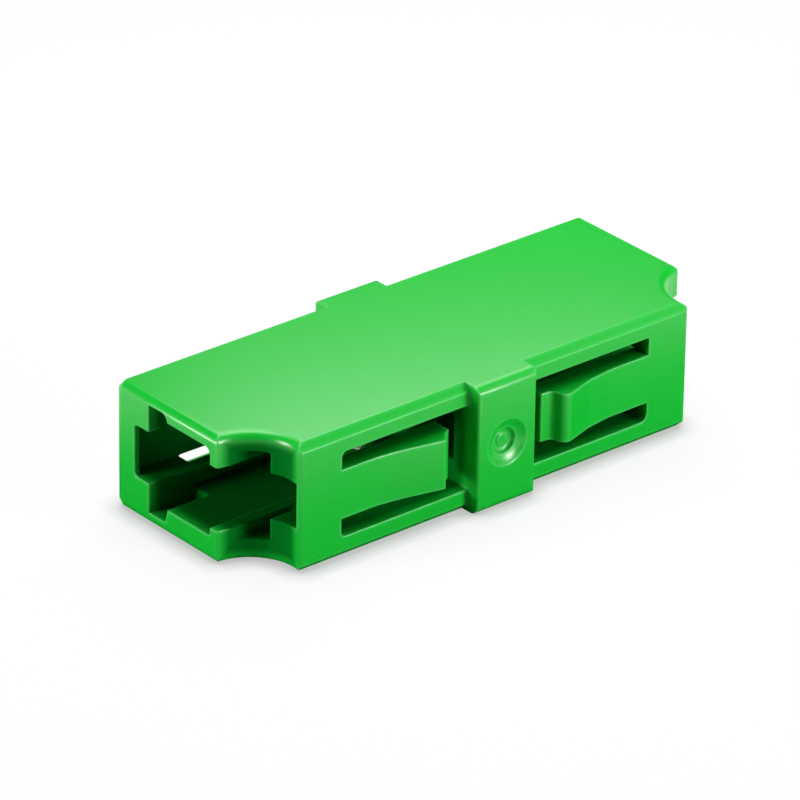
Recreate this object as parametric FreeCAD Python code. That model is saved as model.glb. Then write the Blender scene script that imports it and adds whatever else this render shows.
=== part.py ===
import FreeCAD, Part
import os
from math import acos, sin, tan

# One-piece fibre adapter with a footprint for a 13 x 9.5 mm panel cut-out.
# X runs through both plug ports, Y across the width, Z up.  The origin is the
# centre of the footprint on the underside.  The wall at -Y carries the finger
# scoops, the wall at +Y is plain.

Vec = FreeCAD.Vector

# ---- housing block -------------------------------------------------------
body_length = 34.0
body_width = 12.7
body_height = 7.9
long_edge_chamfer = 0.45
mouth_round = 0.55          # all round the two end faces
scoop_radius = 2.87         # front scoop; its axis lies in the mouth's plane
scoop_inset = 0.75          # scoop axis, inwards from the outer face of its wall
rear_scoop_radius = 3.6
rear_scoop_inset = 0.5
rear_scoop_beyond = 0.79    # rear scoop's axis, outwards from its mouth's plane
scoop_wall_round = 0.3
scoop_mouth_round = 0.2     # upright edges between a mouth and its scoop

# ---- stop lugs at mid-length ----------------------------------------------
lug_length = 4.25
lug_proud = 0.85
lug_long_round = 0.55
lug_end_round = 0.22

# ---- injection gate on the lug of the scoop side ----------------------------
gate_radius = 1.42
gate_dish_depth = 0.3       # where the dish meets the cup in its middle
gate_cup_radius = 0.82
gate_cup_depth = 0.56
gate_cup_step = 0.02        # ledge between dish and cup
gate_bow = 0.08             # bow of the dish's and the cup's walls
gate_nub_radius = 0.4
gate_nub_height = 0.1
gate_nub_draft = 0.04

# ---- port cavities: heights are measured from the ferrule axis -----------------
port_axis_y = -0.6
port_axis_rise = 0.1        # ferrule axis above mid-height
web_thickness = 1.5
land_above_axis = 2.95      # flat roof of the port
land_below_axis = 2.45      # flat floor of the port
land_plain_edge = 1.65      # Y of the land's edge on the plain side
key_outer_edge = -2.85      # Y of the key ribs' outer faces
key_rib_width = 0.75
key_rib_roof_height = 1.0
key_rib_floor_height = 0.5
plain_notch_roof_share = 0.5    # part of the roof's thickness left over the notch
plain_notch_floor_share = 0.47
plain_notch_length = 2.9
plain_notch_draft = 0.2         # lean of the notch's flank away from the land
plain_notch_round = 0.6         # where the roof's notch meets its flank
scoop_notch_above_axis = 2.75
scoop_notch_below_axis = 2.7
notch_small_round = 0.2
key_root_round = 0.45
plain_rail_edge = 3.1       # Y of the corner rails' inner faces, plain side
plain_rail_flare = 0.24     # how far those faces open towards the mouth
plain_gap_below_axis = 1.5
plain_gap_above_axis = 1.73
plain_gap_round = 0.3
scoop_rail_edge = -4.24
scoop_gap_below_axis = 1.33
scoop_gap_above_axis = 1.49
plain_mouth_wall = 1.75     # side wall thickness in the mouth, plain side
plain_wall = 1.25           # side wall thickness behind the mouth
scoop_wall = 1.22
mouth_frame_length = 0.35
latch_ramp_lip = 0.24       # lip left at the scoop by the ramp inside it
latch_ramp_length = 2.6

# ---- windows in the side walls: heights are measured from mid-height ---------------
scoop_window_end = 11.2     # distance of the outer end from mid-length
scoop_window_down = 2.6
scoop_window_up = 2.67
plain_window_end = 13.65
plain_window_down = 2.85
plain_window_up = 2.9
plain_window_bed = 4.05     # Y down to which the plain windows cut into the rails
window_round = 0.35
window_large_round = 0.5
window_sharp = 0.08

# ---- spring arms moulded in the windows --------------------------------------------
arm_down = 1.45
arm_up = 1.57
arm_root_thickness = 1.25
arm_root_round = 0.35       # plain side only
arm_tip_thickness = 1.3
arm_tip_round = 0.06
arm_root_overlap = 0.4      # how far an arm runs into the wall it grows from
panel_gap = 1.38            # panel thickness held between arm tip and lug
front_arm_rise = 0.85
front_arm_bend = 5.98       # distance of the bend from the lug face
front_arm_bend_round = 14.0
front_arm_crest = 2.32      # distance of the crest from the lug face
front_arm_crest_round = 0.17
front_arm_step = 0.5
front_arm_drop = 0.69
front_arm_foot_round = 0.12
front_arm_tip_drop = 0.09   # tip's outer face, inwards from the wall's
rear_arm_rise = 0.98
rear_arm_gap = 1.17
rear_arm_tongue = 0.72
rear_arm_step = 0.28
rear_arm_crest_round = 0.5
rear_arm_foot_round = 0.4
rear_arm_foot_drop = 0.07   # foot's and tip's outer faces, inwards from the wall's
rear_arm_tip_drop = 0.13
rear_arm_waist = 4.45
rear_arm_waist_rise = 0.25
rear_arm_waist_round = 3.0
rear_arm_bend = 6.2
rear_arm_bend_round = 5.0

# ---- sleeve holder halves and split sleeve -------------------------------------------
ferrule_bore_radius = 1.25
sleeve_wall = 0.35
sleeve_length = 11.4
sleeve_slot = 0.5
sleeve_clearance = 0.1      # radial, sleeve to holder
sleeve_end_play = 0.05
sleeve_end_chamfer = 0.12
holder_wall = 0.5
holder_lip = 0.55
holder_lip_hole_radius = 1.3
holder_lead_in = 0.35
holder_flange_width = 0.2
holder_flange_thickness = 0.6
holder_spigot_step = 0.12
spigot_clearance = 0.02

half_length = body_length / 2
half_width = body_width / 2
mid_height = body_height / 2
port_axis_z = mid_height + port_axis_rise
land_roof = port_axis_z + land_above_axis
land_floor = port_axis_z - land_below_axis
plain_gap_top = port_axis_z + plain_gap_above_axis
plain_gap_bottom = port_axis_z - plain_gap_below_axis
scoop_gap_top = port_axis_z + scoop_gap_above_axis
scoop_gap_bottom = port_axis_z - scoop_gap_below_axis
half_web = web_thickness / 2
lug_face = lug_length / 2
cut_margin = 1.0            # how far a cutting tool runs past what it opens
tool_overlap = 0.05         # how far two tools that meet run into each other


# ---- small helpers --------------------------------------------------------------

def solid_box(low, high):
    """Box between two opposite corners given as (x, y, z)."""
    size = [high[i] - low[i] for i in range(3)]
    return Part.makeBox(size[0], size[1], size[2], Vec(*low))


def corner_arc(before, corner, after, radius):
    """Tangent points and middle of the arc that rounds one corner."""
    back = (before - corner).normalize()
    ahead = (after - corner).normalize()
    half_angle = acos(max(-1.0, min(1.0, back.dot(ahead)))) / 2
    reach = radius / tan(half_angle)
    bisector = (back + ahead).normalize()
    middle = corner + bisector * (radius / sin(half_angle) - radius)
    return corner + back * reach, middle, corner + ahead * reach


def rounded_face(corners, place):
    """Face from (u, v, radius) corners; place turns u, v into a point."""
    points = [place(u, v) for u, v, radius in corners]
    count = len(corners)
    starts, ends, edges = [], [], []
    for i in range(count):
        radius = corners[i][2]
        if radius <= 0:
            starts.append(points[i])
            ends.append(points[i])
            continue
        first, middle, last = corner_arc(points[i - 1], points[i], points[(i + 1) % count], radius)
        starts.append(first)
        ends.append(last)
        edges.append((i, Part.Arc(first, middle, last).toShape()))
    arcs = dict(edges)
    outline = []
    for i in range(count):
        if i in arcs:
            outline.append(arcs[i])
        following = starts[(i + 1) % count]
        if ends[i].distanceToPoint(following) > 1e-6:
            outline.append(Part.LineSegment(ends[i], following).toShape())
    return Part.Face(Part.Wire(outline))


def section(corners, x_start, x_end):
    """Prism along X from a rounded outline in Y and Z."""
    face = rounded_face(corners, lambda y, z: Vec(x_start, y, z))
    return face.extrude(Vec(x_end - x_start, 0, 0))


def plan(corners, z_bottom, z_top):
    """Prism along Z from a rounded outline in X and Y."""
    face = rounded_face(corners, lambda x, y: Vec(x, y, z_bottom))
    return face.extrude(Vec(0, 0, z_top - z_bottom))


def mirrored(shape):
    """Copy mirrored from the front half to the rear half."""
    return shape.mirror(Vec(0, 0, 0), Vec(1, 0, 0))


def turned_profile(points, x_axis_y, x_axis_z):
    """Solid turned about the line parallel to X through the port axis."""
    outline = [Vec(x, x_axis_y + r, x_axis_z) for x, r in points]
    wire = Part.makePolygon(outline + [outline[0]])
    axis_point = Vec(0, x_axis_y, x_axis_z)
    return Part.Face(wire).revolve(axis_point, Vec(1, 0, 0), 360)


# ---- housing: the outside -----------------------------------------------------------

def octagon(half_w, height, chamfer):
    """Outline of the block with its four long edges cut at 45 degrees."""
    return [(-half_w + chamfer, 0, 0), (half_w - chamfer, 0, 0),
            (half_w, chamfer, 0), (half_w, height - chamfer, 0),
            (half_w - chamfer, height, 0), (-half_w + chamfer, height, 0),
            (-half_w, height - chamfer, 0), (-half_w, chamfer, 0)]


def scoop_at(end):
    """Radius of the finger scoop at one end (-1 front, 1 rear) and a point on its axis."""
    if end < 0:
        return scoop_radius, Vec(-half_length, -half_width + scoop_inset, 0)
    return rear_scoop_radius, Vec(half_length + rear_scoop_beyond, -half_width + rear_scoop_inset, 0)


def scoop_tool(end):
    """Upright cylinder that cuts a finger scoop."""
    radius, centre = scoop_at(end)
    return Part.makeCylinder(radius, body_height + 2 * cut_margin, centre - Vec(0, 0, cut_margin))


def scoop_rim_tool(end, rim_z, upward):
    """Ring that rounds the rim of a scoop over at its top (upward 1) or underside (-1)."""
    radius, centre = scoop_at(end)
    ring = []
    for r, z in ((radius, rim_z - upward * mouth_round),
                 (radius + mouth_round, rim_z),
                 (radius + mouth_round, rim_z + upward * cut_margin),
                 (radius - mouth_round, rim_z + upward * cut_margin),
                 (radius - mouth_round, rim_z - upward * mouth_round)):
        ring.append(centre + Vec(r, 0, z))
    slant = mouth_round * (1 - 0.5 ** 0.5)
    crown = centre + Vec(radius + slant, 0, rim_z - upward * slant)
    round_over = Part.Arc(ring[0], crown, ring[1]).toBSpline().toShape()
    straight = Part.makePolygon(ring[1:] + [ring[0]]).Edges
    face = Part.Face(Part.Wire([round_over] + straight))
    return face.revolve(centre, Vec(0, 0, 1), 360)


def end_block():
    """Block with chamfered long edges and both end faces rounded all the way round."""
    block = section(octagon(half_width, body_height, long_edge_chamfer), -half_length, half_length)
    outline = [e for e in block.Edges if e.BoundBox.XLength < 1e-3]
    return block.makeFillet(mouth_round, outline)


def upright_edges(prism, at_mouth):
    """Full-height edges of the scoop side, in the mouth faces or in the side wall."""
    found = []
    for edge in prism.Edges:
        middle = edge.valueAt((edge.FirstParameter + edge.LastParameter) / 2)
        in_mouth_face = abs(abs(middle.x) - half_length) < 1e-3
        in_wall = abs(middle.y + half_width) < 1e-3
        if edge.BoundBox.ZLength < body_height - 1e-3 or middle.y > 0:
            continue
        if (in_mouth_face and at_mouth) or (in_wall and not at_mouth):
            found.append(edge)
    return found


def plan_prism():
    """Block seen from above: scoops cut in and their upright edges rounded."""
    prism = solid_box((-half_length, -half_width, 0), (half_length, half_width, body_height))
    for end in (-1, 1):
        prism = prism.cut(scoop_tool(end))
    prism = prism.makeFillet(scoop_mouth_round, upright_edges(prism, True))
    return prism.makeFillet(scoop_wall_round, upright_edges(prism, False))


def rounded_block():
    """Solid block with rounded end faces, scoops and rounded rims."""
    block = end_block().common(plan_prism())
    for end in (-1, 1):
        rims = [scoop_rim_tool(end, body_height, 1), scoop_rim_tool(end, 0, -1)]
        block = block.cut(rims)
    return block


def lug(side):
    """Stop lug on one side wall (-1 scoop side, 1 plain side)."""
    outer = side * (half_width + lug_proud)
    inner = side * (half_width - long_edge_chamfer - lug_long_round)
    profile = [(inner, 0, 0), (outer, 0, lug_long_round),
               (outer, body_height, lug_long_round), (inner, body_height, 0)]
    outline = [(-lug_face, inner, 0), (-lug_face, outer, lug_end_round),
               (lug_face, outer, lug_end_round), (lug_face, inner, 0)]
    return section(profile, -lug_face, lug_face).common(plan(outline, 0, body_height))


def gate_tool():
    """Hollow dish with a cup and a low nub in its middle, turned about Y."""
    face_y = -half_width - lug_proud
    centre = Vec(0, face_y, mid_height)

    def at(radius, depth):
        return centre + Vec(radius, depth, 0)

    dish_middle = at((gate_radius + gate_cup_radius) / 2 - gate_bow, gate_dish_depth / 2 + gate_bow)
    dish = Part.Arc(at(gate_radius, 0), dish_middle, at(gate_cup_radius, gate_dish_depth))
    cup_start = at(gate_cup_radius - gate_cup_step, gate_dish_depth)
    cup_middle = at(gate_cup_radius - gate_bow, gate_cup_depth - gate_bow)
    trough = at((gate_cup_radius + gate_nub_radius) / 2, gate_cup_depth)
    cup = Part.Arc(cup_start, cup_middle, trough)
    nub_top = gate_cup_depth - gate_nub_height
    straight = Part.makePolygon([trough, at(gate_nub_radius, gate_cup_depth),
                                 at(gate_nub_radius - gate_nub_draft, nub_top), at(0, nub_top),
                                 at(0, -cut_margin), at(gate_radius, -cut_margin),
                                 at(gate_radius, 0)])
    step = Part.makePolygon([at(gate_cup_radius, gate_dish_depth), cup_start])
    arcs = [dish.toBSpline().toShape(), cup.toBSpline().toShape()]
    face = Part.Face(Part.Wire([arcs[0]] + step.Edges + [arcs[1]] + straight.Edges))
    return face.revolve(centre, Vec(0, 1, 0), 360)


# ---- housing: the ports -----------------------------------------------------------------

def port_section():
    """Outline of a port in Y and Z, behind its lead-ins."""
    key_inner = key_outer_edge + key_rib_width
    key_top = land_floor + key_rib_floor_height
    key_bottom = land_roof - key_rib_roof_height
    plain_inner = half_width - plain_mouth_wall
    scoop_inner = -half_width + scoop_wall
    scoop_roof = port_axis_z + scoop_notch_above_axis
    scoop_floor = port_axis_z - scoop_notch_below_axis
    small = notch_small_round
    return [
        (plain_inner, plain_gap_bottom, plain_gap_round),
        (plain_rail_edge, plain_gap_bottom, 0),
        (plain_rail_edge, land_floor, 0),
        (key_inner, land_floor, small),
        (key_inner, key_top, 0),
        (key_outer_edge, key_top, 0),
        (key_outer_edge, scoop_floor, small),
        (scoop_rail_edge, scoop_floor, small),
        (scoop_rail_edge, scoop_gap_bottom, 0),
        (scoop_inner, scoop_gap_bottom, 0),
        (scoop_inner, scoop_gap_top, 0),
        (scoop_rail_edge, scoop_gap_top, 0),
        (scoop_rail_edge, scoop_roof, small),
        (key_outer_edge, scoop_roof, small),
        (key_outer_edge, key_bottom, 0),
        (key_inner, key_bottom, 0),
        (key_inner, land_roof, key_root_round),
        (plain_rail_edge, land_roof, 0),
        (plain_rail_edge, plain_gap_top, 0),
        (plain_inner, plain_gap_top, plain_gap_round),
    ]


def port_tool():
    """Everything that one port, the front one, takes out of the block."""
    mouth = -half_length
    tool = section(port_section(), mouth - cut_margin, -half_web)
    pocket_start = mouth + mouth_frame_length
    pocket = solid_box((pocket_start, 0, plain_gap_bottom),
                       (-half_web, half_width - plain_wall, plain_gap_top))
    openers = [plain_notch_tool(mouth, land_roof, plain_notch_roof(), plain_notch_round),
               plain_notch_tool(mouth, land_floor, plain_notch_floor(), notch_small_round),
               rail_flare_tool(mouth), latch_ramp_tool()]
    return tool.fuse([pocket] + openers)


def plain_notch_roof():
    return body_height - plain_notch_roof_share * (body_height - land_roof)


def plain_notch_floor():
    return plain_notch_floor_share * land_floor


def plain_notch_tool(mouth, land, bottom, corner_round):
    """Short notch of the plain side between the land and the rail; bottom is its far face."""
    away = 1 if bottom > land else -1
    depth = abs(bottom - land)
    corners = [(land_plain_edge, land - away * notch_small_round, 0), (land_plain_edge, land, 0),
               (land_plain_edge + plain_notch_draft, bottom, min(corner_round, depth)),
               (plain_rail_edge, bottom, 0), (plain_rail_edge, land - away * notch_small_round, 0)]
    return section(corners, mouth - cut_margin, mouth + plain_notch_length)


def rail_flare_tool(mouth):
    """Wedge that opens the plain side's rails towards the mouth, as deep as the notches."""
    outline = [(mouth, plain_rail_edge - notch_small_round, 0),
               (mouth, plain_rail_edge + plain_rail_flare, 0),
               (mouth + plain_notch_length, plain_rail_edge, 0),
               (mouth + plain_notch_length, plain_rail_edge - notch_small_round, 0)]
    return plan(outline, plain_notch_floor(), plain_notch_roof())


def latch_ramp_tool():
    """Wedge behind the scoop that lets a plug's latch lever ride in."""
    wall_end = -half_length + (scoop_radius ** 2 - scoop_inset ** 2) ** 0.5
    lip_y = -half_width + latch_ramp_lip
    inner_y = -half_width + scoop_wall
    slope = (inner_y - lip_y) / latch_ramp_length
    start = wall_end - cut_margin
    outline = [(start, lip_y - slope * cut_margin, 0),
               (wall_end + latch_ramp_length, inner_y, 0),
               (wall_end + latch_ramp_length, inner_y + tool_overlap, 0),
               (start, inner_y + tool_overlap, 0)]
    return plan(outline, scoop_gap_bottom, scoop_gap_top)


# ---- housing: windows and spring arms --------------------------------------------------------

def window_tool(side, end):
    """Window in one wall (-1 scoop side, 1 plain side), front (-1) or rear (1)."""
    on_scoop_side = side < 0
    reach = scoop_window_end if on_scoop_side else plain_window_end
    bottom = mid_height - (scoop_window_down if on_scoop_side else plain_window_down)
    top = mid_height + (scoop_window_up if on_scoop_side else plain_window_up)
    inner = -scoop_rail_edge - tool_overlap if on_scoop_side else plain_window_bed
    top_round = window_sharp if end > 0 and on_scoop_side else window_round
    bottom_round = window_large_round if end > 0 and on_scoop_side else window_round
    outer = half_width + cut_margin
    outline = [(end * lug_face, bottom, 0), (end * reach, bottom, bottom_round),
               (end * reach, top, top_round), (end * lug_face, top, 0)]
    face = rounded_face(outline, lambda x, z: Vec(x, side * inner, z))
    return face.extrude(Vec(0, side * (outer - inner), 0))


def arm(outer_line, root_x, side):
    """Spring arm from its outer line; root_x lies in the solid wall."""
    tip_x = outer_line[-1][0]
    wall = half_width
    inner_root = wall - arm_root_thickness
    inner_tip = outer_line[-1][1] - arm_tip_thickness
    corners = [(root_x, wall, 0)] + outer_line + [(tip_x, inner_tip, 0), (root_x, inner_root, 0)]
    placed = [(x, side * y, radius) for x, y, radius in corners]
    return plan(placed, mid_height - arm_down, mid_height + arm_up)


def arm_root(end):
    """Fillets that join a plain-side arm's upper and lower edges to its window's end."""
    joins = []
    for edge_z, away in ((mid_height - arm_down, -1), (mid_height + arm_up, 1)):
        corner = Vec(end * plain_window_end, half_width - arm_root_thickness, edge_z)
        along = Vec(-end * arm_root_round, 0, 0)
        across = Vec(0, 0, away * arm_root_round)
        hollow = corner + (along + across) * (1 - 0.5 ** 0.5)
        curve = Part.Arc(corner + along, hollow, corner + across).toShape()
        legs = Part.makePolygon([corner + across, corner, corner + along])
        face = Part.Face(Part.Wire([curve] + legs.Edges))
        joins.append(face.extrude(Vec(0, arm_root_thickness, 0)))
    return joins


def front_arm(side, reach):
    """Arm that holds the panel: bends out to a crest and ends in a stepped tip."""
    tip = -lug_face - panel_gap
    crest = -lug_face - front_arm_crest
    bend = -lug_face - front_arm_bend
    top = half_width + front_arm_rise
    outer_line = [(bend, half_width, front_arm_bend_round), (crest, top, front_arm_crest_round),
                  (crest + front_arm_step, top - front_arm_drop, front_arm_foot_round),
                  (tip, half_width - front_arm_tip_drop, arm_tip_round)]
    return arm(outer_line, -reach - arm_root_overlap, side)


def rear_arm(side, reach):
    """Arm that damps the rear half: swells to a crest, drops to a flat tongue."""
    tip = lug_face + rear_arm_gap
    foot = tip + rear_arm_tongue
    crest = foot + rear_arm_step
    top = half_width + rear_arm_rise
    waist_y = half_width + rear_arm_waist_rise
    outer_line = [(lug_face + rear_arm_bend, half_width, rear_arm_bend_round),
                  (lug_face + rear_arm_waist, waist_y, rear_arm_waist_round),
                  (crest, top, rear_arm_crest_round),
                  (foot, half_width - rear_arm_foot_drop, rear_arm_foot_round),
                  (tip, half_width - rear_arm_tip_drop, arm_tip_round)]
    return arm(outer_line, reach + arm_root_overlap, side)


def housing():
    """The whole green moulding."""
    body = rounded_block().fuse([lug(-1), lug(1)])
    front_port = port_tool()
    body = body.cut([front_port, mirrored(front_port)])
    body = body.cut([window_tool(side, end) for side in (-1, 1) for end in (-1, 1)])
    arms = []
    for side, reach in ((-1, scoop_window_end), (1, plain_window_end)):
        arms += [front_arm(side, reach), rear_arm(side, reach)]
    arms += arm_root(-1) + arm_root(1)
    body = body.fuse(arms)
    web_bore = Part.makeCylinder(spigot_radius() + spigot_clearance, web_thickness + 2 * cut_margin,
                                 Vec(-half_web - cut_margin, port_axis_y, port_axis_z), Vec(1, 0, 0))
    return body.cut([web_bore, gate_tool()]).removeSplitter()


# ---- ferrule alignment --------------------------------------------------------------------

def holder_bore_radius():
    return ferrule_bore_radius + sleeve_wall + sleeve_clearance


def holder_radius():
    return holder_bore_radius() + holder_wall


def spigot_radius():
    return holder_radius() - holder_spigot_step


def sleeve_holder_front():
    """Half of the sleeve holder: spigot in the web, flange on it, tube and lip."""
    bore_end = sleeve_length / 2 + sleeve_end_play
    tube_end = bore_end + holder_lip
    flange_end = half_web + holder_flange_thickness
    tube = holder_radius()
    flange = tube + holder_flange_width
    profile = [(0, holder_bore_radius()), (0, spigot_radius()), (-half_web, spigot_radius()),
               (-half_web, flange), (-flange_end, flange), (-flange_end, tube),
               (-tube_end + holder_lead_in, tube), (-tube_end, tube - holder_lead_in),
               (-tube_end, holder_lip_hole_radius + holder_lead_in),
               (-tube_end + holder_lead_in, holder_lip_hole_radius),
               (-bore_end, holder_lip_hole_radius), (-bore_end, holder_bore_radius())]
    return turned_profile(profile, port_axis_y, port_axis_z)


def alignment_sleeve():
    """Ceramic sleeve, split along its top, that lines up the two ferrules."""
    half = sleeve_length / 2
    inner = ferrule_bore_radius
    outer = ferrule_bore_radius + sleeve_wall
    edge = sleeve_end_chamfer
    profile = [(-half, inner + edge), (-half, outer - edge), (-half + edge, outer),
               (half - edge, outer), (half, outer - edge), (half, inner + edge),
               (half - edge, inner), (-half + edge, inner)]
    ring = turned_profile(profile, port_axis_y, port_axis_z)
    slot = solid_box((-half - cut_margin, port_axis_y - sleeve_slot / 2, port_axis_z),
                     (half + cut_margin, port_axis_y + sleeve_slot / 2, port_axis_z + 2 * outer))
    return ring.cut(slot)


def main():
    os.makedirs("parts", exist_ok=True)
    front_holder = sleeve_holder_front()
    pieces = {
        "housing": housing(),
        "sleeve_holder_front": front_holder,
        "sleeve_holder_rear": mirrored(front_holder),
        "alignment_sleeve": alignment_sleeve(),
    }
    for name, shape in pieces.items():
        box = shape.BoundBox
        print(name, "solids", len(shape.Solids), "valid", shape.isValid(),
              "volume %.2f" % shape.Volume,
              "box %.2f %.2f %.2f" % (box.XLength, box.YLength, box.ZLength))
        shape.exportStep("parts/%s.step" % name)


main()
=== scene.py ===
import logging
import math
from dataclasses import dataclass, field
from enum import Enum
from typing import Any

import bpy
import bmesh
from mathutils import Matrix, Quaternion, Vector


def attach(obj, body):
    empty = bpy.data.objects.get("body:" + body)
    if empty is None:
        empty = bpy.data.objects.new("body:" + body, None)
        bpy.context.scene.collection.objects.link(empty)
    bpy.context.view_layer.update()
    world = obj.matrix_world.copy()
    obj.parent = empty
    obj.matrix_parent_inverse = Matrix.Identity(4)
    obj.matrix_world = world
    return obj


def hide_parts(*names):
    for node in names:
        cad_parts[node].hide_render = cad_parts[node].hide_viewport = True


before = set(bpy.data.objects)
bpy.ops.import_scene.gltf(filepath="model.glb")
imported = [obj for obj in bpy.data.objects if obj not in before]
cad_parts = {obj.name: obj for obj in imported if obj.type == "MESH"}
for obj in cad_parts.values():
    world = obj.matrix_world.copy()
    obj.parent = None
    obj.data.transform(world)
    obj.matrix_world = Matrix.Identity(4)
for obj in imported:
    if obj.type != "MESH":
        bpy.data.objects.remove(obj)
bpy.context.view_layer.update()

logging.basicConfig(level=logging.INFO, format="%(name)s: %(message)s")
log = logging.getLogger("fibre_adapter")

MM = 0.001
BODY = "root"
WELD_DISTANCE = 0.0005 * MM
FLAT_DEGREES = 0.5
ROUNDING_SEGMENTS = 2
LARGE_FACES_FIRST = 100


def srgb(hex_colour: str, alpha: float = 1.0) -> tuple[float, float, float, float]:
    """Turns an sRGB hex colour into linear RGBA.

    Args:
        hex_colour: Six hex digits, with or without a leading hash.
        alpha: Opacity from 0 to 1.

    Returns:
        Linear red, green, blue and alpha.
    """
    digits = hex_colour.lstrip("#")
    channels = [int(digits[i:i + 2], 16) / 255 for i in (0, 2, 4)]
    linear = [c / 12.92 if c <= 0.04045 else ((c + 0.055) / 1.055) ** 2.4 for c in channels]
    return linear[0], linear[1], linear[2], alpha


def direction(azimuth: float, elevation: float) -> Vector:
    """Finds the direction from the part to a camera or a lamp.

    Args:
        azimuth: Degrees round the part, 0 on the scoop side and 90 at the rear port.
        elevation: Degrees above the floor.

    Returns:
        Unit vector that points away from the part.
    """
    around, up = math.radians(azimuth), math.radians(elevation)
    level = math.cos(up)
    return Vector((math.sin(around) * level, -math.cos(around) * level, math.sin(up)))


def add_node(
    tree: bpy.types.NodeTree,
    kind: str,
    settings: dict[str, Any] | None = None,
    inputs: dict[str | int, Any] | None = None,
) -> bpy.types.Node:
    """Adds a shader node with its settings and input values or links.

    Args:
        tree: Node tree that gets the node.
        kind: Blender's name for the node type.
        settings: Node properties by name.
        inputs: Socket values by name or index; an output socket makes a link.

    Returns:
        The new node.
    """
    node = tree.nodes.new(kind)
    for name, value in (settings or {}).items():
        setattr(node, name, value)
    for name, value in (inputs or {}).items():
        if isinstance(value, bpy.types.NodeSocket):
            tree.links.new(value, node.inputs[name])
        else:
            node.inputs[name].default_value = value
    return node


def new_material(name: str) -> tuple[bpy.types.Material, bpy.types.Node]:
    """Makes an empty node material.

    Args:
        name: Name of the material.

    Returns:
        The material and its output node.
    """
    material = bpy.data.materials.new(name)
    material.use_nodes = True
    material.node_tree.nodes.clear()
    return material, add_node(material.node_tree, "ShaderNodeOutputMaterial")


class Grain(Enum):
    """Finish of the mould's steel, with the strength of the relief it leaves."""

    POLISHED = 0.06
    SPARKED = 0.35


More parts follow.
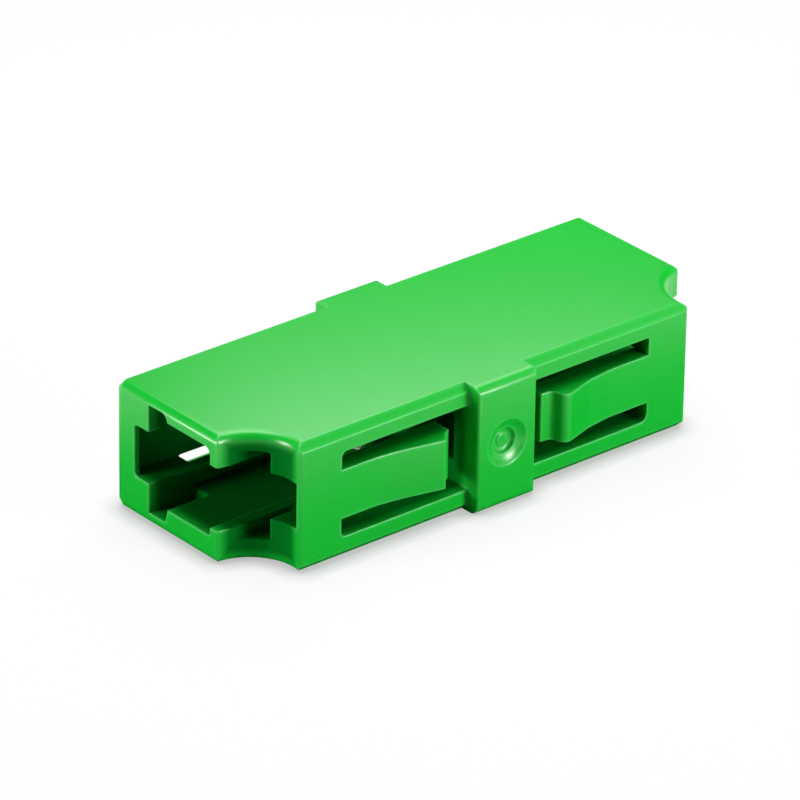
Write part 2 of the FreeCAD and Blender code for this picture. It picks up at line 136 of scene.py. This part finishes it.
@dataclass(frozen=True)
class MouldedThermoplastic:
    """Pigmented polybutylene terephthalate, injection moulded.

    To the eye: an even, slightly milky colour with a soft satin gleam. A pale
    painted glow lies along the outer edges, and painted shade makes the faces
    inside the ports and windows darker; they are also duller.
    """

    name: str
    colour: str
    depth_colour: str
    painted_shade_colour: str
    roughness: float
    grain: Grain
    # Box of the outer walls: faces inside it get painted shade, a darker colour and less gloss.
    outer_box_half: tuple[float, float, float] = (17.0 * MM, 6.35 * MM, 3.95 * MM)
    painted_shade_start: float = 0.05 * MM
    painted_shade_full: float = 0.9 * MM
    # The rear scoop's wall faces the open room, so the painted shade is left off it and it
    # keeps the outer colour.
    open_scoop_axis: tuple[float, float, float] = (17.79 * MM, -5.85 * MM, 0.0)
    open_scoop_radius: float = 3.6 * MM
    open_scoop_skin: float = 0.5 * MM
    # Real grain is some hundredths of a millimetre; drawn coarser to be seen.
    grain_size: float = 0.09 * MM
    grain_height: float = 0.0012 * MM
    grain_detail: float = 3.0
    grain_mix: float = 0.6
    grain_range: tuple[float, float] = (0.3, 0.7)
    gloss_spread: tuple[float, float] = (0.02, 0.03)
    # Slow change of tone over several millimetres, as pigment follows the melt.
    flow_size: float = 7.0 * MM
    flow_detail: float = 2.0
    flow_mix: float = 0.5
    ior: float = 1.5
    sheen_level: float = 0.8
    sheen_in_painted_shade: float = 0.01
    edge_softness: float = 0.14 * MM
    # Painted glow: a pale green painted along the outer edges as light coming through the
    # plastic.
    painted_glow_colour: str = "5CD978"
    painted_glow_reach: float = 0.3 * MM
    painted_glow_share: float = 0.75
    painted_glow_full_cosine: float = 0.86
    edge_samples: int = 6
    scatter: float = 0.35
    scatter_reach: float = 0.4 * MM
    scatter_tint: tuple[float, float, float] = (0.25, 1.0, 0.35)

    def painted_shade_share(
        self, tree: bpy.types.NodeTree, place: bpy.types.NodeSocket
    ) -> bpy.types.NodeSocket:
        """Finds the faces inside the outer walls, where shade is painted.

        Args:
            tree: Node tree that gets the nodes.
            place: Socket with the Object coordinates.

        Returns:
            Socket that runs from 0 on the outside to 1 on the faces inside it.
        """
        centred = add_node(tree, "ShaderNodeVectorMath", {"operation": "SUBTRACT"}, {
            0: place, 1: (0.0, 0.0, self.outer_box_half[2])})
        size = add_node(tree, "ShaderNodeVectorMath", {"operation": "ABSOLUTE"}, {
            0: centred.outputs[0]})
        depth = add_node(tree, "ShaderNodeVectorMath", {"operation": "SUBTRACT"}, {
            0: self.outer_box_half, 1: size.outputs[0]})
        axes = add_node(tree, "ShaderNodeSeparateXYZ", {}, {0: depth.outputs[0]}).outputs
        sides = add_node(tree, "ShaderNodeMath", {"operation": "MINIMUM"}, {
            0: axes[0], 1: axes[1]})
        least = add_node(tree, "ShaderNodeMath", {"operation": "MINIMUM"}, {
            0: sides.outputs[0], 1: axes[2]})
        share = add_node(tree, "ShaderNodeMapRange", {"interpolation_type": "SMOOTHSTEP"}, {
            "Value": least.outputs[0], "From Min": self.painted_shade_start,
            "From Max": self.painted_shade_full})
        level = add_node(tree, "ShaderNodeVectorMath", {"operation": "MULTIPLY"}, {
            0: place, 1: (1.0, 1.0, 0.0)})
        radius = add_node(tree, "ShaderNodeVectorMath", {"operation": "DISTANCE"}, {
            0: level.outputs[0], 1: self.open_scoop_axis})
        past = add_node(tree, "ShaderNodeMath", {"operation": "SUBTRACT"}, {
            0: radius.outputs["Value"], 1: self.open_scoop_radius})
        off_scoop = add_node(tree, "ShaderNodeMapRange", {"interpolation_type": "SMOOTHSTEP"}, {
            "Value": past.outputs[0], "From Min": 0.0, "From Max": self.open_scoop_skin})
        shade_mask = add_node(tree, "ShaderNodeMath", {"operation": "MULTIPLY"}, {
            0: share.outputs["Result"], 1: off_scoop.outputs["Result"]})
        return shade_mask.outputs[0]

    def painted_edge_glow(
        self, tree: bpy.types.NodeTree, inside: bpy.types.NodeSocket
    ) -> bpy.types.NodeSocket:
        """Finds the outer edges, where a pale colour is painted as a glow of light coming
        through the thin plastic.

        Args:
            tree: Node tree that gets the nodes.
            inside: Socket with the share of painted shade.

        Returns:
            Socket that is 0 on flat faces and rises towards the edges.
        """
        wide = add_node(tree, "ShaderNodeBevel", {"samples": self.edge_samples}, {
            "Radius": self.painted_glow_reach})
        flat = add_node(tree, "ShaderNodeNewGeometry").outputs["Normal"]
        match = add_node(tree, "ShaderNodeVectorMath", {"operation": "DOT_PRODUCT"}, {
            0: wide.outputs["Normal"], 1: flat})
        turn = add_node(tree, "ShaderNodeMapRange", {}, {
            "Value": match.outputs["Value"], "From Min": 1.0,
            "From Max": self.painted_glow_full_cosine, "To Min": 0.0, "To Max": self.painted_glow_share})
        outside = add_node(tree, "ShaderNodeMath", {"operation": "SUBTRACT"}, {
            0: 1.0, 1: inside})
        glow = add_node(tree, "ShaderNodeMath", {"operation": "MULTIPLY"}, {
            0: turn.outputs["Result"], 1: outside.outputs[0]})
        return glow.outputs[0]

    def build(self) -> bpy.types.Material:
        """Makes the plastic's node material.

        Returns:
            The finished material.
        """
        material, output = new_material(self.name)
        tree = material.node_tree
        place = add_node(tree, "ShaderNodeTexCoord").outputs["Object"]
        flow = add_node(tree, "ShaderNodeTexNoise", {}, {
            "Vector": place, "Scale": 1 / self.flow_size,
            "Detail": self.flow_detail, "Roughness": self.flow_mix})
        grain = add_node(tree, "ShaderNodeTexNoise", {}, {
            "Vector": place, "Scale": 1 / self.grain_size,
            "Detail": self.grain_detail, "Roughness": self.grain_mix})
        tint = add_node(tree, "ShaderNodeMix", {"data_type": "RGBA"}, {
            0: flow.outputs["Fac"], 6: srgb(self.depth_colour), 7: srgb(self.colour)})
        # Painted shade: faces inside the ports and windows get a darker colour and less gloss.
        share = self.painted_shade_share(tree, place)
        sheen = add_node(tree, "ShaderNodeMapRange", {}, {
            "Value": share, "To Min": self.sheen_level, "To Max": self.sheen_in_painted_shade})
        inside = add_node(tree, "ShaderNodeMix", {"data_type": "RGBA"}, {
            0: share, 6: tint.outputs[2], 7: srgb(self.painted_shade_colour)})
        # Painted glow: the pale edge colour is mixed in along the outer edges.
        edged = add_node(tree, "ShaderNodeMix", {"data_type": "RGBA"}, {
            0: self.painted_edge_glow(tree, share), 6: inside.outputs[2], 7: srgb(self.painted_glow_colour)})
        rough = add_node(tree, "ShaderNodeMapRange", {}, {
            "Value": grain.outputs["Fac"],
            "From Min": self.grain_range[0], "From Max": self.grain_range[1],
            "To Min": self.roughness - self.gloss_spread[0],
            "To Max": self.roughness + self.gloss_spread[1]})
        soft = add_node(tree, "ShaderNodeBevel", {"samples": self.edge_samples}, {
            "Radius": self.edge_softness})
        skin = add_node(tree, "ShaderNodeBump", {}, {
            "Normal": soft.outputs["Normal"], "Height": grain.outputs["Fac"],
            "Distance": self.grain_height, "Strength": self.grain.value})
        shader = add_node(tree, "ShaderNodeBsdfPrincipled", {}, {
            "Base Color": edged.outputs[2], "Roughness": rough.outputs["Result"],
            "IOR": self.ior, "Specular IOR Level": sheen.outputs["Result"],
            "Subsurface Weight": self.scatter, "Subsurface Scale": self.scatter_reach,
            "Subsurface Radius": self.scatter_tint, "Normal": skin.outputs["Normal"]})
        tree.links.new(shader.outputs["BSDF"], output.inputs["Surface"])
        return material


@dataclass(frozen=True)
class GroundZirconia:
    """Zirconia ceramic, fired and ground to size.

    To the eye: ivory white with a hard, glassy gleam that the grinding lines
    round the tube break up a little.
    """

    name: str = "zirconia, fired and ground"
    colour: str = "ECE8DC"
    roughness: float = 0.18
    ior: float = 2.15
    # Real grinding lines are about a hundredth of a millimetre; drawn coarser.
    grinding_pitch: float = 0.12 * MM
    grinding_depth: float = 0.002 * MM
    grinding_strength: float = 0.1
    line_scale: tuple[float, float, float] = (1.0, 0.05, 0.05)

    def build(self) -> bpy.types.Material:
        """Makes the ceramic's node material.

        Returns:
            The finished material.
        """
        material, output = new_material(self.name)
        tree = material.node_tree
        place = add_node(tree, "ShaderNodeTexCoord").outputs["Object"]
        along = add_node(tree, "ShaderNodeMapping", {}, {
            "Vector": place, "Scale": self.line_scale})
        lines = add_node(tree, "ShaderNodeTexNoise", {}, {
            "Vector": along.outputs["Vector"], "Scale": 1 / self.grinding_pitch})
        skin = add_node(tree, "ShaderNodeBump", {}, {
            "Height": lines.outputs["Fac"], "Strength": self.grinding_strength,
            "Distance": self.grinding_depth})
        shader = add_node(tree, "ShaderNodeBsdfPrincipled", {}, {
            "Base Color": srgb(self.colour), "Roughness": self.roughness,
            "IOR": self.ior, "Normal": skin.outputs["Normal"]})
        tree.links.new(shader.outputs["BSDF"], output.inputs["Surface"])
        return material


@dataclass
class Softbox:
    """Diffused lamp aimed at the part; height makes it a strip and turn rolls it."""

    name: str
    azimuth: float
    elevation: float
    distance: float
    size: float
    power: float
    height: float | None = None
    turn: float = 0.0

    def build(self) -> None:
        """Makes the lamp."""
        lamp = bpy.data.lights.new(self.name, "AREA")
        lamp.shape, lamp.size, lamp.energy = "RECTANGLE", self.size, self.power
        lamp.size_y = self.height or self.size
        thing = bpy.data.objects.new(self.name, lamp)
        bpy.context.scene.collection.objects.link(thing)
        away = direction(self.azimuth, self.elevation)
        thing.location = away * self.distance
        thing.rotation_mode = "QUATERNION"
        roll = Quaternion(away, math.radians(self.turn))
        thing.rotation_quaternion = roll @ away.to_track_quat("Z", "Y")
        thing.visible_camera = False


# High lamps light the roof, the close strip behind it gives the roof its pale
# sheen towards the scoop side, and the low ones light the two sides in view.
LAMPS = (
    Softbox("back_high", azimuth=140, elevation=78, distance=0.25, size=0.20, power=0.51),
    Softbox("back_edge", azimuth=137.5, elevation=49.6, distance=0.052, size=0.031,
            power=0.0053, height=0.015, turn=9.7),
    Softbox("back_fill", azimuth=140, elevation=47, distance=0.085, size=0.05, power=0.0017),
    Softbox("left_low", azimuth=250, elevation=12, distance=0.30, size=0.10, power=0.65),
    Softbox("front_low", azimuth=20, elevation=12, distance=0.30, size=0.10, power=0.67),
    Softbox("right_low", azimuth=60, elevation=30, distance=0.30, size=0.15, power=0.07),
)


@dataclass
class Studio:
    """Pale sweep, soft lamps and plain world."""

    floor_reach: float = 1.2
    floor_colour: str = "FAFAFA"
    floor_return: str = "B4B4B4"
    floor_lift: float = 0.84
    contact_reach: float = 1.3 * MM
    contact_shade: float = 0.58
    contact_closed: float = 0.4
    contact_samples: int = 16
    footprint: tuple[float, float, float] = (17.0 * MM, 6.35 * MM, 0.0)
    # Painted shade: in glossy faces the floor darkens towards the part within this reach.
    mirror_reach: float = 12.5 * MM
    mirror_curve: float = 4.0
    world_colour: str = "FFFFFF"
    world_strength: float = 0.02
    lamps: tuple[Softbox, ...] = LAMPS

    def paper(self) -> bpy.types.Material:
        """Makes the floor's material.

        To the eye it is white paper with a close shadow under the part. The
        light it gives back to the part is greyer, which keeps hollows deep.

        Returns:
            The finished material.
        """
        material, output = new_material("matt white paper sweep")
        tree = material.node_tree
        path = add_node(tree, "ShaderNodeLightPath").outputs
        tone = add_node(tree, "ShaderNodeMix", {"data_type": "RGBA"}, {
            0: path["Is Diffuse Ray"], 6: srgb(self.floor_colour), 7: srgb(self.floor_return)})
        paper = add_node(tree, "ShaderNodeBsdfDiffuse", {}, {"Color": tone.outputs[2]})
        open_sky = add_node(
            tree, "ShaderNodeAmbientOcclusion", {"samples": self.contact_samples},
            {"Distance": self.contact_reach})
        contact = add_node(tree, "ShaderNodeMapRange", {}, {
            "Value": open_sky.outputs["AO"], "From Min": self.contact_closed,
            "From Max": 1.0, "To Min": self.contact_shade, "To Max": 1.0})
        white = add_node(tree, "ShaderNodeEmission", {}, {
            "Strength": contact.outputs["Result"]})
        seen = add_node(tree, "ShaderNodeMath", {"operation": "MULTIPLY"}, {
            0: path["Is Camera Ray"], 1: self.floor_lift})
        viewed = add_node(tree, "ShaderNodeMixShader", {}, {
            0: seen.outputs[0], 1: paper.outputs[0], 2: white.outputs[0]})
        mirrored = add_node(tree, "ShaderNodeMath", {"operation": "MAXIMUM"}, {
            0: path["Is Glossy Ray"], 1: path["Is Transmission Ray"]})
        shader = add_node(tree, "ShaderNodeMixShader", {}, {
            0: mirrored.outputs[0], 1: viewed.outputs[0],
            2: self.mirror_image(tree).outputs[0]})
        tree.links.new(shader.outputs[0], output.inputs["Surface"])
        return material

    def mirror_image(self, tree: bpy.types.NodeTree) -> bpy.types.Node:
        """Makes the floor that a glossy face shows: white, with painted shade that darkens it
        near the part.

        Args:
            tree: Node tree that gets the nodes.

        Returns:
            The emission node.
        """
        place = add_node(tree, "ShaderNodeTexCoord").outputs["Object"]
        size = add_node(tree, "ShaderNodeVectorMath", {"operation": "ABSOLUTE"}, {0: place})
        past = add_node(tree, "ShaderNodeVectorMath", {"operation": "SUBTRACT"}, {
            0: size.outputs[0], 1: self.footprint})
        clear = add_node(tree, "ShaderNodeVectorMath", {"operation": "MAXIMUM"}, {
            0: past.outputs[0], 1: (0.0, 0.0, 0.0)})
        gap = add_node(tree, "ShaderNodeVectorMath", {"operation": "LENGTH"}, {
            0: clear.outputs[0]})
        share = add_node(tree, "ShaderNodeMath", {"operation": "DIVIDE", "use_clamp": True}, {
            0: gap.outputs["Value"], 1: self.mirror_reach})
        curve = add_node(tree, "ShaderNodeMath", {"operation": "POWER"}, {
            0: share.outputs[0], 1: self.mirror_curve})
        return add_node(tree, "ShaderNodeEmission", {}, {"Strength": curve.outputs[0]})

    def build(self) -> None:
        """Makes the floor, the world and the lamps."""
        mesh = bpy.data.meshes.new("floor")
        sheet = bmesh.new()
        bmesh.ops.create_grid(sheet, x_segments=1, y_segments=1, size=self.floor_reach)
        sheet.to_mesh(mesh)
        sheet.free()
        floor = bpy.data.objects.new("floor", mesh)
        bpy.context.scene.collection.objects.link(floor)
        mesh.materials.append(self.paper())
        world = bpy.data.worlds.new("studio")
        world.use_nodes = True
        world.node_tree.nodes.clear()
        out = add_node(world.node_tree, "ShaderNodeOutputWorld")
        sky = add_node(world.node_tree, "ShaderNodeBackground", {}, {
            "Color": srgb(self.world_colour), "Strength": self.world_strength})
        world.node_tree.links.new(sky.outputs["Background"], out.inputs["Surface"])
        bpy.context.scene.world = world
        for lamp in self.lamps:
            lamp.build()


@dataclass
class ProductCamera:
    """Long lens that looks down on the port end and the scoop side."""

    azimuth: float = -40.299
    elevation: float = 27.279
    roll: float = 0.929
    distance: float = 372.51 * MM
    focal_length: float = 299.36
    sensor: float = 36.0
    nearest: float = 0.01
    farthest: float = 10.0
    target: tuple[float, float, float] = (-1.886 * MM, 0.0, 4.491 * MM)
    slide_right: float = 0.101 * MM
    slide_down: float = 0.179 * MM

    def build(self) -> None:
        """Makes the camera and hands it to the scene."""
        lens = bpy.data.cameras.new("product_camera")
        lens.lens, lens.sensor_width = self.focal_length, self.sensor
        lens.clip_start, lens.clip_end = self.nearest, self.farthest
        camera = bpy.data.objects.new("product_camera", lens)
        bpy.context.scene.collection.objects.link(camera)
        back = direction(self.azimuth, self.elevation)
        right = Vector((0, 0, 1)).cross(back).normalized()
        above = back.cross(right)
        tilt = math.radians(self.roll)
        right, above = (right * math.cos(tilt) + above * math.sin(tilt),
                        above * math.cos(tilt) - right * math.sin(tilt))
        aim = Vector(self.target) + right * self.slide_right - above * self.slide_down
        turn = Matrix((right, above, back)).transposed()
        place = Matrix.Translation(aim + back * self.distance)
        camera.matrix_world = place @ turn.to_4x4()
        bpy.context.scene.camera = camera


def smooth_copy(
    node: str, name: str, edge_round: float, sharp_from: float
) -> bpy.types.Object:
    """Copies a CAD node as one welded skin with small rounded edges.

    Args:
        node: Name of the CAD node.
        name: Name of the new piece.
        edge_round: Width of the rounding on its sharp edges, in metres.
        sharp_from: Angle in degrees from which an edge counts as sharp.

    Returns:
        The new piece, riding on the body and standing for the node.
    """
    sharp_angle = math.radians(sharp_from)
    skin = bmesh.new()
    skin.from_mesh(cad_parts[node].data)
    bmesh.ops.remove_doubles(skin, verts=skin.verts, dist=WELD_DISTANCE)
    bmesh.ops.dissolve_degenerate(skin, edges=skin.edges, dist=WELD_DISTANCE)
    bmesh.ops.dissolve_limit(
        skin, angle_limit=math.radians(FLAT_DEGREES), verts=skin.verts,
        edges=skin.edges, delimit={"NORMAL"})
    for face in skin.faces:
        face.smooth = True
    for edge in skin.edges:
        edge.smooth = edge.calc_face_angle(0.0) < sharp_angle
    mesh = bpy.data.meshes.new(name)
    skin.to_mesh(mesh)
    skin.free()
    piece = bpy.data.objects.new(name, mesh)
    bpy.context.scene.collection.objects.link(piece)
    rounding = piece.modifiers.new("edge_round", "BEVEL")
    rounding.width, rounding.segments = edge_round, ROUNDING_SEGMENTS
    rounding.limit_method, rounding.angle_limit = "ANGLE", sharp_angle
    rounding.use_clamp_overlap, rounding.harden_normals = True, True
    # Without this the big flat faces show faint creases next to the roundings.
    flats = piece.modifiers.new("flat_faces", "WEIGHTED_NORMAL")
    flats.mode, flats.weight, flats.keep_sharp = "FACE_AREA", LARGE_FACES_FIRST, True
    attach(piece, BODY)
    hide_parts(node)
    return piece


@dataclass
class Housing:
    """The green moulding with its ports, windows, spring arms and lugs."""

    node: str = "housing"
    piece: str = "moulded_housing"
    slot: str = "green_plastic"
    edge_round: float = 0.09 * MM
    sharp_from: float = 32.0
    # Polished steel leaves the outside smooth, with a soft satin gleam; the darker third colour
    # is painted shade inside the ports and windows.
    finish: MouldedThermoplastic = field(default_factory=lambda: MouldedThermoplastic(
        name="green PBT, moulded in a polished cavity", colour="03C534",
        depth_colour="03C130", painted_shade_colour="03741F", roughness=0.3, grain=Grain.POLISHED))

    def build(self) -> dict[str, str]:
        """Makes the rounded skin of the moulding and dresses it.

        Returns:
            The finish of each piece, by the piece's name.
        """
        moulding = smooth_copy(self.node, self.piece, self.edge_round, self.sharp_from)
        moulding.data.materials.append(self.finish.build())
        return {self.piece: self.finish.name}


@dataclass
class FerruleAlignment:
    """The two sleeve holder halves and the split sleeve between them."""

    holders: tuple[str, str] = ("sleeve_holder_front", "sleeve_holder_rear")
    sleeve: str = "alignment_sleeve"
    # Spark-eroded steel leaves the holders matt; deep in the ports they get the darker third
    # colour, which is painted shade.
    holder_finish: MouldedThermoplastic = field(default_factory=lambda: MouldedThermoplastic(
        name="green PBT, moulded in a sparked cavity", colour="1EA035",
        depth_colour="1A9831", painted_shade_colour="0C6A1E", roughness=0.5, grain=Grain.SPARKED))
    sleeve_finish: GroundZirconia = field(default_factory=GroundZirconia)

    def build(self) -> dict[str, str]:
        """Dresses the holders and the sleeve.

        Returns:
            The finish of each piece, by the piece's name.
        """
        plastic, ceramic = self.holder_finish.build(), self.sleeve_finish.build()
        finishes = {**dict.fromkeys(self.holders, plastic), self.sleeve: ceramic}
        for name, material in finishes.items():
            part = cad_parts[name]
            part.data.materials.clear()
            part.data.materials.append(material)
        return {name: material.name for name, material in finishes.items()}


def main() -> None:
    """Builds the scene in order and reports each piece."""
    bpy.context.scene.view_settings.view_transform = "Standard"
    ProductCamera().build()
    Studio().build()
    for assembly in (Housing(), FerruleAlignment()):
        for piece, finish in assembly.build().items():
            log.info("%s: %s", piece, finish)


if __name__ == "__main__":
    main()
